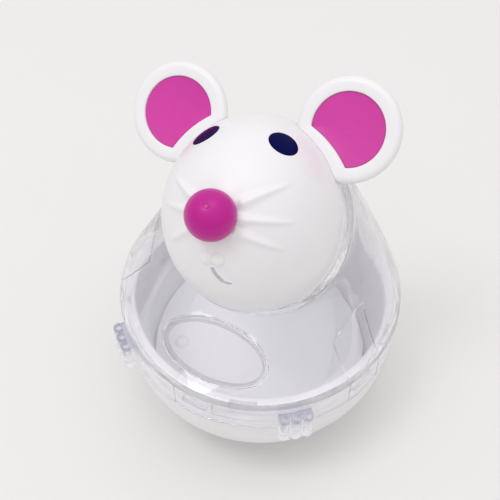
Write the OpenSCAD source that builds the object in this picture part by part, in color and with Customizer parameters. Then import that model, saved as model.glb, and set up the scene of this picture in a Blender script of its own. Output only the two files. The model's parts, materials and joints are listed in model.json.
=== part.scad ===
// Mouse-shaped tumbler that drops treats: a weighted white bowl, a clear body with an oval outlet,
// and a hollow mouse head that is snapped into a slanted collar.
// The origin is on the bowl's axis, in the plane of the small flat it stands on. The mouse faces -Y.

/* [Clear shell] */
// Outer radius of the clear shell at its widest edge
shell_r = 43; // [35.5:0.1:52]
// Wall of the clear shell
shell_wall = 2; // [1.6:0.1:2.4]
// Height of the skirt that drops over the bowl
skirt_h = 11.7; // [9.7:0.1:14.1]
// Rise of the shoulder at the rim in front, in degrees from level
rise_front = 23; // [18:1:30]
// Rise of the shoulder at the rim on both sides
rise_side = 62; // [50:1:68]
// Rise of the shoulder at the rim behind
rise_back = 74; // [62:1:84]

/* [Collar] */
// Lean of the collar's axis towards the front, in degrees from upright
neck_tilt = 45.8; // [38:0.1:52]
// Height of the collar's mouth above the rim, at its centre
neck_height = 36; // [32:0.1:43]
// Distance of the mouth's centre in front of the bowl's axis
neck_forward = 4.3; // [3:0.1:6]
// Bore of the collar, as a radius
collar_r = 25.4; // [21.2:0.1:27]
// Wall of the collar
collar_wall = 1.6; // [1.4:0.1:2]
// Length of the collar along its own axis
collar_h = 6; // [5:0.1:7.2]

/* [Treat outlet] */
// Half the outlet's width at its outer edge
outlet_half_w = 16.5; // [13.7:0.1:18]
// Half the outlet's height at its outer edge
outlet_half_h = 8.8; // [7.3:0.1:9]
// Distance of the outlet's centre in from the shell's widest edge
outlet_in = 12.9; // [12:0.1:14]
// Height of the outlet's centre above the rim
outlet_height = 4.6; // [3:0.1:7]
// Lean of the outlet's face towards the front
outlet_tilt = 24.4; // [18:0.1:30]
// How far the lip narrows on each side on its way in
lip_narrow = 1.6; // [1:0.1:2]
// Depth of the lip
lip_depth = 2.8; // [2.4:0.1:3.6]

/* [Bowl] */
// Depth of the bowl below the rim
bowl_depth = 48; // [40:0.1:57.6]
// Wall of the bowl
bowl_wall = 2.2; // [1.8:0.1:2.7]
// Radius of the bowl's rounded corner
corner_r = 26; // [21.6:0.1:31.2]
// Radius of the rolling bottom
base_r = 59; // [49:0.1:71]
// Step from the skirt's face in to the bowl's face
bowl_step = 0.9; // [0.5:0.1:1.5]
// Radius of the small flat it stands on
flat_r = 12; // [10:0.5:14.5]
// Thickness of the spigot that the skirt drops over
spigot_wall = 2.6; // [2.4:0.1:3.1]

/* [Bayonet] */
// Number of lugs, with a slide mark on the shell over each
lug_count = 5; // [3:1:6]
// Width of a lug around the skirt
lug_w = 7.6; // [6:0.1:9.2]
// Thickness of a lug along the axis
lug_h = 2; // [1.6:0.1:2.4]
// How far a lug stands in from the skirt
lug_depth = 1; // [0.8:0.1:1.1]
// Turn from locked to open, in degrees
unlock_turn = 20; // [16:1:24]
// Width of a slide mark
mark_w = 12.4; // [11:0.1:14]

/* [Ballast] */
// Radius of the iron weight
weight_r = 21; // [17.5:0.1:22]
// Thickness of the iron weight
weight_h = 6; // [5:0.1:7.2]
// Thickness of the cover over the weight
cover_wall = 1.6; // [1.3:0.1:2]
// Radius of the circle of the three cover pins
pin_circle_r = 26; // [25:0.1:28]
// Radius of a pin's shank
pin_r = 1.2; // [1:0.05:1.4]

/* [Head] */
// Turn of the head in its collar, towards the mouse's left
head_turn = 13.4; // [0:0.1:20]
// Half the head's width
head_half_w = 24.9; // [23:0.1:25.5]
// Half the head's height, across the collar's axis
head_half_h = 27.2; // [25:0.1:28]
// Half the head's length, along the collar's axis
head_half_l = 32.8; // [30:0.1:39]
// Offset of the head's middle towards the brow
head_up = 1.7; // [1:0.1:2.5]
// Depth of the head's widest part below the collar's mouth
head_sunk = 2.6; // [2:0.1:3.2]
// Wall of the head
head_wall = 1.8; // [1.5:0.1:2.2]
// Length of the head's spigot inside the collar
neck_spigot_h = 7; // [6:0.1:8.4]

/* [Ears] */
// Radius of an ear
ear_r = 13.8; // [11.5:0.1:15]
// Thickness of an ear
ear_t = 4; // [3.4:0.1:4.8]
// Distance of an ear's centre to the side
ear_side = 23.8; // [22:0.1:28]
// Distance of an ear's centre above the head's axis
ear_up = 26.4; // [24:0.1:31]
// Radius of the pink lining
lining_r = 9.7; // [8.1:0.1:11.6]
// Thickness of the pink lining at its edge
lining_t = 1.2; // [1:0.1:1.4]
// White border between the lining and the head
lining_border = 2.5; // [2:0.1:3]

/* [Face] */
// Radius of the ball nose
nose_r = 6.4; // [5.4:0.1:7.6]
// Height of the nose above the head's axis
nose_up = 2.9; // [2:0.1:4]
// Radius of an eye
eye_r = 4; // [3.4:0.1:4.6]
// Distance of an eye's centre to the side
eye_side = 10.6; // [9:0.1:12]
// Distance of an eye's centre above the head's axis
eye_up = 21.4; // [20:0.1:22]
// Width of the mouth
mouth_w = 5; // [4.2:0.1:6]
// Distance of the mouth's centre to the mouse's left
mouth_side = 1.2; // [0:0.1:1.4]
// Distance of the mouth's centre below the head's axis
mouth_down = 12.4; // [11.4:0.1:13.5]

/* [Feet] */
// Angle of each foot from the front
foot_angle = 40; // [37:0.5:42]
// Radius of a toe
toe_r = 1.55; // [1.3:0.05:1.7]
// Distance between two toes
toe_pitch = 3.4; // [3.2:0.1:3.7]
// Length of a toe
toe_h = 11.9; // [10:0.1:14.2]

/* [Fits] */
// Gap all round between pieces that turn or slide on each other
fit_gap = 0.3; // [0.2:0.05:0.4]
// Gap round a piece that is pressed or glued in
press_gap = 0.06; // [0.04:0.01:0.1]

/* [Hidden] */
$fn = 96;
eps = 0.01;
around = 80;            // steps round the shoulder
rows = 12;              // steps up the shoulder
dome_fn = 60;           // facets round the head's dome
lug_pitch = 360/lug_count;

// ---- shoulder of the clear shell ----
// Each slope is a Bezier curve from the rim to the collar. lead_* are its handles in front, at the
// sides and behind, first at the rim and then at the collar.
lead_rim = [13, 14.2, 9];
lead_neck = [4.7, 5, 4];
rim_tuck = 0.35;        // the shoulder starts this far inside the skirt's face
neck_tuck = 0.2;        // and ends this far inside the collar's face
tuck_depth = 1.2;       // both ends are sunk this deep in the ring they join

// A value that goes from front to side to back as the angle a goes from 0 to 180
function round_mix(v, a) = v[1] + (v[0] - v[2])/2*cos(a) + ((v[0] + v[2])/2 - v[1])*pow(cos(a), 2);
// From the collar's own frame (side, up, along the axis) to the body's frame
function from_neck(p) = [p.x,
                         p.y*cos(neck_tilt) - p.z*sin(neck_tilt) - neck_forward,
                         p.y*sin(neck_tilt) + p.z*cos(neck_tilt) + neck_height];
neck_axis = [0, -sin(neck_tilt), cos(neck_tilt)];
function bezier(p, t) = pow(1 - t, 3)*p[0] + 3*pow(1 - t, 2)*t*p[1] + 3*(1 - t)*t*t*p[2] + pow(t, 3)*p[3];
// One slope at angle a, from rim radius r and height z to a ring of radius n in the collar. It sets
// off lead_in before the rim, inside the skirt's wall.
function slope_handles(a, r, z, n, lead_in) =
    let (rise = round_mix([rise_front, rise_side, rise_back], a),
         out = [sin(a), -cos(a), 0],
         along = -cos(rise)*out + [0, 0, sin(rise)],
         start = r*out + [0, 0, z],
         end = from_neck([n*sin(a), -n*cos(a), -collar_h]))
    [start - lead_in*along, start + round_mix(lead_rim, a)*along,
     end - round_mix(lead_neck, a)*neck_axis, end];
function outer_slope(a) = slope_handles(a, shell_r - rim_tuck, 0, collar_r + collar_wall - neck_tuck, 0.25);
// The inner face starts where a line one wall inside the outer slope meets the skirt's bore
function inner_slope(a) =
    let (rise = round_mix([rise_front, rise_side, rise_back], a))
    slope_handles(a, shell_r - shell_wall, -shell_wall*tan(45 - rise/2), collar_r + neck_tuck, 0.6);
// Each face goes on past its curve by tuck_depth, inside the skirt and inside the collar
function face_ring(handles, t, shift) = [for (i = [0:around - 1]) bezier(handles[i], t) + shift];
outer_handles = [for (i = [0:around - 1]) outer_slope(i*360/around)];
inner_handles = [for (i = [0:around - 1]) inner_slope(i*360/around)];
function into_skirt(ring, grow) = [for (p = ring) let (r = norm([p.x, p.y]))
                                   [p.x*(r + grow)/r, p.y*(r + grow)/r, p.z - tuck_depth]];
shoulder_rings = concat(
    [into_skirt(face_ring(outer_handles, 0, [0, 0, 0]), 0)],
    [for (k = [0:rows]) face_ring(outer_handles, k/rows, [0, 0, 0])],
    [face_ring(outer_handles, 1, tuck_depth*neck_axis)],
    [face_ring(inner_handles, 1, tuck_depth*neck_axis)],
    [for (k = [rows:-1:0]) face_ring(inner_handles, k/rows, [0, 0, 0])],
    [into_skirt(face_ring(inner_handles, 0, [0, 0, 0]), shell_wall/5)]);

// ---- bowl ----
spigot_r = shell_r - shell_wall - fit_gap;
spigot_in_r = spigot_r - spigot_wall;
spigot_top = -2.2;                       // below the shoulder's inner face all the way round
ledge_z = -skirt_h - fit_gap;
bowl_r = shell_r - bowl_step;
bowl_in_r = bowl_r - bowl_wall;
corner_x = bowl_r - corner_r;
corner_z = base_r - bowl_depth - sqrt(pow(base_r - corner_r, 2) - pow(corner_x, 2));
base_z = base_r - bowl_depth;            // centre of the rolling bottom
base_join = asin(corner_x/(base_r - corner_r));
flat_join = asin(flat_r/base_r);         // where the rolling bottom gives way to the flat
flat_z = base_z - sqrt(pow(base_r, 2) - pow(flat_r, 2));
// Half section of the rounded bowl, cut w inside its outer face, from the ledge down to the axis
function bowl_curve(w, top) =
    let (r = corner_r - w, a0 = top < corner_z ? asin((corner_z - top)/r) : 0)
    concat(top > corner_z ? [[corner_x + r, top]] : [],
           [for (k = [0:14]) let (a = a0 + (90 - base_join - a0)*k/14) [corner_x + r*cos(a), corner_z - r*sin(a)]],
           [for (k = [1:10]) let (a = base_join + (flat_join - base_join)*k/10)
               [(base_r - w)*sin(a), base_z - (base_r - w)*cos(a)]],
           [[0, base_z - (base_r - w)*cos(flat_join)]]);
// Inner radius of the bowl at height z, on its rounded corner
function bowl_bore(z) = corner_x + sqrt(pow(corner_r - bowl_wall, 2) - pow(min(0, z - corner_z), 2));
throat_z = ledge_z - 3;                  // the spigot's bore is blended into the bowl's down to here

// ---- bayonet ----
lug_top = -6.4;                          // top of each lug
channel_depth = lug_depth + fit_gap - 0.05;
lip_wall = 1.1;                          // wall of the outlet's lip
mark_depth = 0.2;
mark_arc = mark_w/shell_r*180/PI;
lug_arc = lug_w/(shell_r - shell_wall)*180/PI;
gap_arc = fit_gap*2/(shell_r - shell_wall)*180/PI;

// ---- ballast ----
seat_r = weight_r*0.62;                  // ring that the weight stands on
seat_wall = 1.6;
weight_z = bowl_seat(weight_r);
function bowl_seat(r) = base_z - sqrt(pow(base_r - bowl_wall, 2) - pow(r, 2)) + 0.8;
cover_z = weight_z + weight_h + 0.3;
lip_rise = 3.2;                          // the cover's dished edge
boss_r = 2.7;
pin_head_r = 2.5;
pin_head_h = 1.2;
pin_dome_r = 3.4;                        // curve of the head's top
pin_fit = 0.03;
// Height of the bowl's inner face at radius r: on the rolling bottom, or further out on the rounded corner
function bowl_floor(r) =
    r < (base_r - bowl_wall)*sin(base_join) ? base_z - sqrt(pow(base_r - bowl_wall, 2) - r*r)
    : corner_z - sqrt(pow(corner_r - bowl_wall, 2) - pow(r - corner_x, 2));
pin_tip = bowl_floor(pin_circle_r + pin_r) + 0.6;   // a pin ends a little above that face

// ---- head ----
dome_base = 0.35;                        // the dome starts this far above the collar's mouth
dome_half = [head_half_w, head_half_h, head_half_l];
dome_mid = [0, head_up, -head_sunk];
head_spigot_r = collar_r - fit_gap;
bead_r = 0.55;                           // snap bead round the spigot
bead_z = -4.6;
ear_mid_z = dome_base + ear_t/2 + 0.05;
// Height of the dome's surface over a point, and the way it faces there
function dome_z(x, y) = dome_mid.z + dome_half.z*sqrt(1 - pow(x/dome_half.x, 2) - pow((y - dome_mid.y)/dome_half.y, 2));
function dome_normal(x, y) = let (n = [x/pow(dome_half.x, 2), (y - dome_mid.y)/pow(dome_half.y, 2),
                                       (dome_z(x, y) - dome_mid.z)/pow(dome_half.z, 2)]) n/norm(n);
nose_seat = dome_z(0, nose_up) + 0.3;    // face that the nose stands on
nose_sunk = 2.7;                         // centre of the ball above that face
nose_seat_r = 5;
stem_r = 2.1;
stem_len = 5.5;
eye_proud = 0.35;
eye_pocket = 1.1;
mouth_h = 4;
puff_r = 2;                              // bumps over the mouth
puff_side = 1.55;
tab = [8, 5, 2.2];                       // glue tab of an ear: across, along, thick
ear_edge = 1.7;                          // rounding of an ear's rim
recess = 0.5;                            // the lining sits this far below the rim
// Radius round the dome's middle line at which the lining is cut off
lining_cut_r = dome_reach(ear_side, ear_up - head_up) + lining_border;
function dome_reach(x, y) = norm([x, y])/norm([x/dome_half.x, y/dome_half.y]);

// ---- feet ----
foot_back = 0.9;                         // plate behind the toes
toe_out = 1.9;                           // toes' axes outside the skirt
toe_top = -3.2;
pad_r = 1.75;                            // ball at a toe's tip

// ================= shared shapes =================
// Heights in the modules are measured from the clear shell's widest edge
module at_rim() { translate([0, 0, -flat_z]) children(); }
module in_collar() {
    translate([0, -neck_forward, neck_height]) rotate([neck_tilt, 0, 0]) children();
}
module on_head() { at_rim() in_collar() rotate([0, 0, head_turn]) children(); }
module ring(r1, r0, z0, z1) {
    translate([0, 0, z0]) difference() {
        cylinder(r = r1, h = z1 - z0);
        translate([0, 0, -1]) cylinder(r = r0, h = z1 - z0 + 2);
    }
}
// A piece of a ring: radius from r0 to r1, height z0 to z1, from angle a0 through sweep
module arc(r0, r1, z0, z1, a0, sweep) {
    rotate([0, 0, a0]) rotate_extrude(angle = sweep) translate([r0, z0]) square([r1 - r0, z1 - z0]);
}
module at_lugs() { for (k = [0:lug_count - 1]) rotate([0, 0, -90 + k*lug_pitch]) children(); }
module at_pins() { for (k = [0:2]) rotate([0, 0, 90 + k*120]) translate([pin_circle_r, 0, 0]) children(); }
module dome(grow) {
    translate(dome_mid) scale([dome_half.x + grow, dome_half.y + grow, dome_half.z + grow])
        sphere(r = 1, $fn = dome_fn);
}
module above(z) { translate([-60, -60, z]) cube([120, 120, 80]); }
// Turns a child's +Z to the direction n
module facing(n) { rotate([0, acos(n.z), atan2(n.y, n.x)]) children(); }

// ================= bowl and ballast =================
module base_bowl() color("whitesmoke") at_rim() difference() {
    union() {
        rotate_extrude() polygon(concat([[0, ledge_z + eps]], [[bowl_r, ledge_z + eps]], bowl_curve(0, ledge_z)));
        rotate([0, 0, lug_pitch*0.42]) translate([0, 0, ledge_z]) cylinder(r = spigot_r, h = spigot_top - ledge_z);
    }
    bowl_hollow();
    at_lugs() {
        arc(spigot_r - channel_depth, spigot_r + 1, lug_top - lug_h - fit_gap, lug_top + fit_gap,
            -lug_arc/2 - gap_arc, lug_arc + 2*gap_arc + unlock_turn);
        arc(spigot_r - channel_depth + 0.02, spigot_r + 1.5, lug_top - lug_h/2, spigot_top + 1,
            unlock_turn - lug_arc/2 - gap_arc, lug_arc + 1.9*gap_arc);
    }
}
// The hollow, less the weight's seat and the pin bosses
module bowl_hollow() difference() {
    union() {
        rotate_extrude() polygon(concat([[0, throat_z]], [[bowl_in_r, throat_z]], bowl_curve(bowl_wall, throat_z)));
        translate([0, 0, throat_z - eps])
            cylinder(r1 = min(bowl_in_r, bowl_bore(throat_z)), r2 = spigot_in_r, h = ledge_z - throat_z + 2*eps);
        translate([0, 0, ledge_z]) cylinder(r = spigot_in_r, h = 30);
    }
    ring(seat_r, seat_r - seat_wall, -bowl_depth, weight_z);
    at_pins() difference() {
        translate([0, 0, -bowl_depth]) cylinder(r = boss_r, h = cover_z + bowl_depth);
        translate([0, 0, -bowl_depth]) cylinder(r = pin_r + pin_fit, h = cover_z + bowl_depth + 1);
    }
}
module ballast_weight() color("dimgray") at_rim() difference() {
    translate([0, 0, weight_z]) cylinder(r = weight_r, h = weight_h);
    // moulding chamfer round the casting's upper edge
    translate([0, 0, weight_z + weight_h - 1]) difference() {
        cylinder(r = weight_r + 2, h = 2);
        cylinder(r1 = weight_r, r2 = weight_r - 2, h = 2);
    }
}
module ballast_cover() color("white") at_rim() difference() {
    rotate_extrude() polygon([
        [0, cover_z],
        [pin_circle_r + 3.4, cover_z],
        [bowl_bore(cover_z + lip_rise) - fit_gap - 0.3, cover_z + lip_rise],
        [bowl_bore(cover_z + lip_rise) - fit_gap - 0.3, cover_z + lip_rise + cover_wall*0.7],
        [pin_circle_r + 3, cover_z + cover_wall],
        [0, cover_z + cover_wall]]);
    at_pins() translate([0, 0, cover_z - 1]) cylinder(r = pin_r + fit_gap, h = cover_wall + 2);
}
// Each pin is pressed into its boss and holds the cover with a low domed head
module cover_pins() color("white") at_rim() at_pins() {
    translate([0, 0, pin_tip]) cylinder(r = pin_r, h = cover_z + cover_wall - pin_tip + eps);
    translate([0, 0, cover_z + cover_wall]) intersection() {
        cylinder(r = pin_head_r, h = pin_head_h + 1);
        translate([0, 0, pin_head_h - pin_dome_r]) sphere(r = pin_dome_r);
    }
}

// ================= clear shell =================
module shoulder() {
    n = len(shoulder_rings);
    polyhedron([for (ring = shoulder_rings) each ring],
        [for (k = [0:n - 1], i = [0:around - 1], half = [0, 1])
            let (j = (i + 1)%around, m = (k + 1)%n)
            half == 0 ? [k*around + i, m*around + i, m*around + j] : [k*around + i, m*around + j, k*around + j]]);
}
// The outlet's oval, drawn in by narrow
function oval_points(narrow) = [for (a = [0:6:354]) [(outlet_half_w - narrow)*cos(a),
                                                    (outlet_half_h - narrow)*sin(a)]];
module outlet_oval(narrow) { polygon(oval_points(narrow)); }
// The way out: straight outside, drawn in through the lip, straight again inside
module outlet_way() {
    inner = oval_points(lip_narrow);
    outer = oval_points(0);
    n = len(outer);
    rings = [[inner, -lip_depth - 6], [inner, -lip_depth], [outer, 0], [outer, 6]];
    polyhedron([for (r = rings, p = r[0]) [p.x, p.y, r[1]]],
        concat([[for (i = [0:n - 1]) i]], [[for (i = [0:n - 1]) 4*n - 1 - i]],
               [for (k = [0:2], i = [0:n - 1]) [k*n + i, k*n + n + i, k*n + n + (i + 1)%n, k*n + (i + 1)%n]]));
}
module at_outlet() {
    translate([0, outlet_in - shell_r, outlet_height]) rotate([outlet_tilt, 0, 0]) children();
}
module clear_shell() color([0.83, 0.84, 0.9, 0.4]) at_rim() {
    difference() {
        union() {
            shoulder();
            ring(shell_r, shell_r - shell_wall, -skirt_h, 0);
            in_collar() ring(collar_r + collar_wall, collar_r, -collar_h - 0.6, 0);
            at_outlet() translate([0, 0, -lip_depth]) linear_extrude(lip_depth - 0.5) outlet_oval(-lip_wall);
        }
        in_collar() translate([0, 0, bead_z - bead_r - 0.35])
            cylinder(r = collar_r + bead_r + 0.05, h = 2*bead_r + 0.7);
        at_outlet() outlet_way();
        at_lugs() arc(shell_r - mark_depth, shell_r + 1, -skirt_h - 1, -0.8, -mark_arc/2, mark_arc);
    }
    at_lugs() arc(shell_r - shell_wall - lug_depth, shell_r - shell_wall + 0.3, lug_top - lug_h, lug_top,
                  -lug_arc/2, lug_arc);
}

// ================= feet =================
module foot() difference() {
    union() {
        arc(shell_r, shell_r + foot_back, -skirt_h + 0.4, toe_top, -foot_arc/2, foot_arc);
        for (k = [-1:1]) rotate([0, 0, k*toe_step]) translate([shell_r + toe_out, 0, 0]) {
            translate([0, 0, toe_top - toe_h + pad_r]) cylinder(r = toe_r, h = toe_h - pad_r, $fn = 40);
            translate([0, 0, toe_top - toe_h + pad_r]) sphere(r = pad_r, $fn = 40);
        }
    }
    translate([0, 0, -40]) cylinder(r = shell_r, h = 60);
    for (k = [-1:1]) rotate([0, 0, k*toe_step]) translate([shell_r + toe_out + 0.15, 0, toe_top - 4.5])
        cylinder(r = toe_r - 0.65, h = 8, $fn = 32);
}
toe_step = toe_pitch/(shell_r + toe_out)*180/PI;
foot_arc = 2*toe_step + 2*toe_r/shell_r*180/PI;
module foot_left() color([0.86, 0.86, 0.92, 0.5]) at_rim() rotate([0, 0, -90 + foot_angle]) foot();
module foot_right() color([0.86, 0.86, 0.92, 0.5]) at_rim() rotate([0, 0, -90 - foot_angle]) foot();

// ================= head =================
module ear_frame(side) {
    translate([side*ear_side, ear_up, ear_mid_z]) rotate([0, 0, atan2(ear_up - head_up, side*ear_side)]) children();
}
module tab_shape(grow) {
    translate([-ear_r - tab.y/2 + 1.5, 0, 0]) cube([tab.y + 8, tab.x, tab.z] + grow*[2, 2, 2], center = true);
}
module head_shell() color("white") on_head() {
    difference() {
        union() {
            intersection() { dome(0); above(dome_base); }
            translate([0, 0, -neck_spigot_h]) cylinder(r = head_spigot_r, h = neck_spigot_h + dome_base + 1);
            translate([0, 0, bead_z]) rotate_extrude() translate([head_spigot_r, 0]) circle(r = bead_r, $fn = 24);
            translate([0, nose_up, nose_seat - 3]) cylinder(r = nose_seat_r, h = 3);
        }
        intersection() { dome(-head_wall); above(dome_base + head_wall); }
        translate([0, 0, -neck_spigot_h - 1])
            cylinder(r = head_spigot_r - head_wall, h = neck_spigot_h + dome_base + head_wall + 1 + eps);
        translate([0, nose_up, nose_seat - 8]) cylinder(r = stem_r + press_gap, h = 10);
        for (side = [-1, 1]) {
            ear_frame(side) tab_shape(press_gap);
            eye_place(side) translate([0, 0, -eye_pocket]) cylinder(r = eye_r + press_gap, h = 6);
        }
        // the mouth's sides slant, and its lower corner on the mouse's right is cut away
        translate([mouth_side, -mouth_down, 10]) linear_extrude(30) scale([mouth_w, mouth_h])
            polygon([[-0.5, 0.46], [0.4, 0.56], [0.52, -0.5], [0.32, -0.6], [-0.08, -0.46], [-0.38, 0]]);
    }
    // two small bumps over the mouth
    for (side = [-1, 1]) translate([side*puff_side - 0.6, -8.2, dome_z(puff_side, -8.2) - puff_r*0.72])
        sphere(r = puff_r, $fn = 32);
}
// An ear's own shape: a thick disc with a rounded rim
module ear_disc() {
    rotate_extrude() polygon(concat(
        [[0, -ear_t/2]],
        [for (a = [-90:15:90]) [ear_r - ear_edge + ear_edge*cos(a), (ear_t/2 - ear_edge)*sign(a) + ear_edge*sin(a)]],
        [[0, ear_t/2]]));
}
// The lining's outline, cut off along the head
module lining_area(grow, side, h) difference() {
    translate([side*ear_side, ear_up, ear_mid_z + ear_t/2 - h]) cylinder(r = lining_r + grow, h = h);
    translate([0, head_up, 0]) cylinder(r = lining_cut_r - grow, h = 20);
}
module ear(side) on_head() difference() {
    union() {
        difference() {
            ear_frame(side) ear_disc();
            dome(press_gap);
        }
        intersection() {
            ear_frame(side) tab_shape(0);
            difference() { ear_side_block(side); dome(-head_wall - 1.2); }
        }
    }
    lining_area(press_gap, side, lining_t + recess);
}
module ear_side_block(side) {
    translate([side*ear_side, ear_up, ear_mid_z - ear_t/2]) cylinder(r = ear_r + 6, h = ear_t);
}
module ear_left() color("white") ear(1);
module ear_right() color("white") ear(-1);
module ear_lining(side) on_head() difference() {
    translate([0, 0, -recess]) lining_area(0, side, lining_t);
    // shallow dish
    translate([side*ear_side, ear_up, ear_mid_z + ear_t/2 - recess - 0.45 + 90]) sphere(r = 90, $fn = 180);
}
module ear_lining_left() color([0.82, 0.35, 0.66]) ear_lining(1);
module ear_lining_right() color([0.82, 0.35, 0.66]) ear_lining(-1);

module nose() color([0.78, 0.18, 0.58]) on_head() translate([0, nose_up, nose_seat]) {
    intersection() {
        translate([0, 0, nose_sunk]) sphere(r = nose_r);
        translate([0, 0, 10]) cube(20, center = true);
    }
    translate([0, 0, -stem_len]) cylinder(r = stem_r, h = stem_len + 1);
}
module eye_place(side) {
    p = [side*eye_side, eye_up, dome_z(eye_side, eye_up)];
    n = dome_normal(side*eye_side, eye_up);
    translate(p) facing(n) children();
}
module eye(side) on_head() eye_place(side) intersection() {
    translate([0, 0, -eye_pocket]) cylinder(r = eye_r, h = eye_pocket + 2);
    translate([0, 0, eye_proud - head_half_h]) sphere(r = head_half_h, $fn = 180);
}
module eye_left() color("midnightblue") eye(1);
module eye_right() color("midnightblue") eye(-1);

base_bowl();
ballast_weight();
ballast_cover();
cover_pins();
clear_shell();
foot_left();
foot_right();
head_shell();
ear_left();
ear_right();
ear_lining_left();
ear_lining_right();
nose();
eye_left();
eye_right();
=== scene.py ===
import json
import math
import bpy
from mathutils import Matrix, Vector


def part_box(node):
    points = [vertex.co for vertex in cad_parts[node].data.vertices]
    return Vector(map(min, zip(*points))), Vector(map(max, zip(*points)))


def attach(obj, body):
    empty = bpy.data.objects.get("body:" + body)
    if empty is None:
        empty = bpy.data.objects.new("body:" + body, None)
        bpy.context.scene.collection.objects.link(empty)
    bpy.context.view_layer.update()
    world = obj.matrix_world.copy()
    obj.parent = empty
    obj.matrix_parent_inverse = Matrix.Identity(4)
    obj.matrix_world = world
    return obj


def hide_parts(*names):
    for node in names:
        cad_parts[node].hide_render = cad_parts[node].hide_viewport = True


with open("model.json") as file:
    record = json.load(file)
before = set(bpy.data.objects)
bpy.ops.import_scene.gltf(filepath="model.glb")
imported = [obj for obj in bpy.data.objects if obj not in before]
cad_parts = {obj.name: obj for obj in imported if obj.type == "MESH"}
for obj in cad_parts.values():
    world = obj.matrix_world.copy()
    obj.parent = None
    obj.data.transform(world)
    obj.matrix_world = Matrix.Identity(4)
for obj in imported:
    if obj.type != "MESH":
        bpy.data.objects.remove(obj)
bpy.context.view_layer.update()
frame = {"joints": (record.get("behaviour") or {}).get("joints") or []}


# ---- Bowl ----
# The lower half is one thick white moulding, round underneath so that the toy rolls back upright.
# Its spigot stands inside the clear shell's skirt and has five L-shaped bayonet channels cut in it.
bowl_low, bowl_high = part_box("base_bowl")
rim_z = bowl_high.z + 0.0022            # height of the clear shell's widest edge
bowl_r = bowl_high.x
bowl_wall = 0.0022
base_r = 0.059                          # radius of the rolling bottom
base_z = rim_z + 0.011                  # height of its centre
corner_r = 0.026
corner_x = bowl_r - corner_r
base_join = math.degrees(math.asin(corner_x/(base_r - corner_r)))
corner_z = base_z - (base_r - corner_r)*math.cos(math.radians(base_join))
flat_r = 0.012                          # radius of the small flat it stands on
flat_join = math.degrees(math.asin(flat_r/base_r))
ledge_z = rim_z - 0.012
spigot_r = 0.0407
spigot_in_r = 0.0381
lug_count = 5
lug_pitch = 360/lug_count
lug_top = rim_z - 0.0064
lug_h = 0.002
unlock_turn = 20
channel_deep = 0.00125
channel_sweep = 11.4                    # a lug's own width and its play, in degrees
rib_out = 0.00015                       # two fine ribs round the spigot take up its play in the skirt
rib_h = 0.0005
rib_ramp = 0.0002
rib_lows = (rim_z - 0.0105, rim_z - 0.0048)


def arc_points(centre, radius, start, stop, steps):
    """Points (radius, height) of an arc in a lathe outline. Angles run from straight out, upwards."""
    angles = [math.radians(start + (stop - start)*k/steps) for k in range(steps + 1)]
    return [(centre[0] + radius*math.cos(a), centre[1] + radius*math.sin(a)) for a in angles]


def rounded(corners, steps=4):
    """A lathe outline from (radius, height, fillet) corners, each fillet drawn as a short curve."""
    points = []
    for k, (r, z, fillet) in enumerate(corners):
        here = Vector((r, z))
        if not fillet:
            points.append((r, z))
            continue
        before = Vector(corners[k - 1][:2]) - here
        after = Vector(corners[(k + 1) % len(corners)][:2]) - here
        start = here + before.normalized()*fillet
        end = here + after.normalized()*fillet
        for i in range(steps + 1):
            t = i/steps
            p = (1 - t)**2*start + 2*t*(1 - t)*here + t*t*end
            points.append((p.x, p.y))
    return points


def edit(piece):
    """Opens one piece for editing with nothing selected."""
    if bpy.context.mode != "OBJECT":
        bpy.ops.object.mode_set(mode="OBJECT")
    bpy.ops.object.select_all(action="DESELECT")
    bpy.context.view_layer.objects.active = piece
    piece.select_set(True)
    bpy.ops.object.mode_set(mode="EDIT")
    bpy.ops.mesh.select_mode(type="VERT")


def close_up(piece, smooth=35):
    """Welds the seams, turns the faces outwards and leaves edit mode."""
    edit(piece)
    bpy.ops.mesh.select_all(action="SELECT")
    bpy.ops.mesh.remove_doubles(threshold=0.000004)
    bpy.ops.mesh.normals_make_consistent(inside=False)
    bpy.ops.object.mode_set(mode="OBJECT")
    bpy.ops.object.shade_smooth_by_angle(angle=math.radians(smooth))
    return piece


def turned(name, outline, steps=160):
    """Turns a piece on the Z axis: a ring is extruded and scaled along the outline."""
    outline = [(max(r, 0.000001), z) for r, z in outline]
    bpy.ops.mesh.primitive_circle_add(vertices=steps, radius=outline[0][0], location=(0, 0, outline[0][1]))
    piece = bpy.context.object
    bpy.ops.object.transform_apply(location=True)
    piece.name = name
    edit(piece)
    bpy.ops.mesh.select_all(action="SELECT")
    for (r0, z0), (r1, z1) in zip(outline, outline[1:]):
        bpy.ops.mesh.extrude_region_move(TRANSFORM_OT_translate={"value": (0, 0, z1 - z0)})
        bpy.ops.transform.resize(value=(r1/r0, r1/r0, 1), center_override=(0, 0, z1))
    return close_up(piece)


def curved_block(name, radii, heights, start, sweep):
    """A block bent round the Z axis."""
    bpy.ops.mesh.primitive_cube_add(size=1)
    piece = bpy.context.object
    piece.name = name
    edit(piece)
    bpy.ops.mesh.select_all(action="SELECT")
    bpy.ops.mesh.subdivide(number_cuts=9)
    bpy.ops.object.mode_set(mode="OBJECT")
    for v in piece.data.vertices:
        r = radii[0] + (v.co.x + 0.5)*(radii[1] - radii[0])
        a = math.radians(start + (v.co.y + 0.5)*sweep)
        v.co = (r*math.cos(a), r*math.sin(a), heights[0] + (v.co.z + 0.5)*(heights[1] - heights[0]))
    return piece


def work(piece, tool, operation="DIFFERENCE"):
    """Cuts a piece with a tool, or joins the tool to it, and throws the tool away."""
    bpy.ops.object.select_all(action="DESELECT")
    bpy.context.view_layer.objects.active = piece
    piece.select_set(True)
    change = piece.modifiers.new("work", "BOOLEAN")
    change.operation = operation
    change.solver = "MANIFOLD"
    change.object = tool
    bpy.ops.object.modifier_apply(modifier=change.name)
    bpy.data.objects.remove(tool)
    return piece


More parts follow.
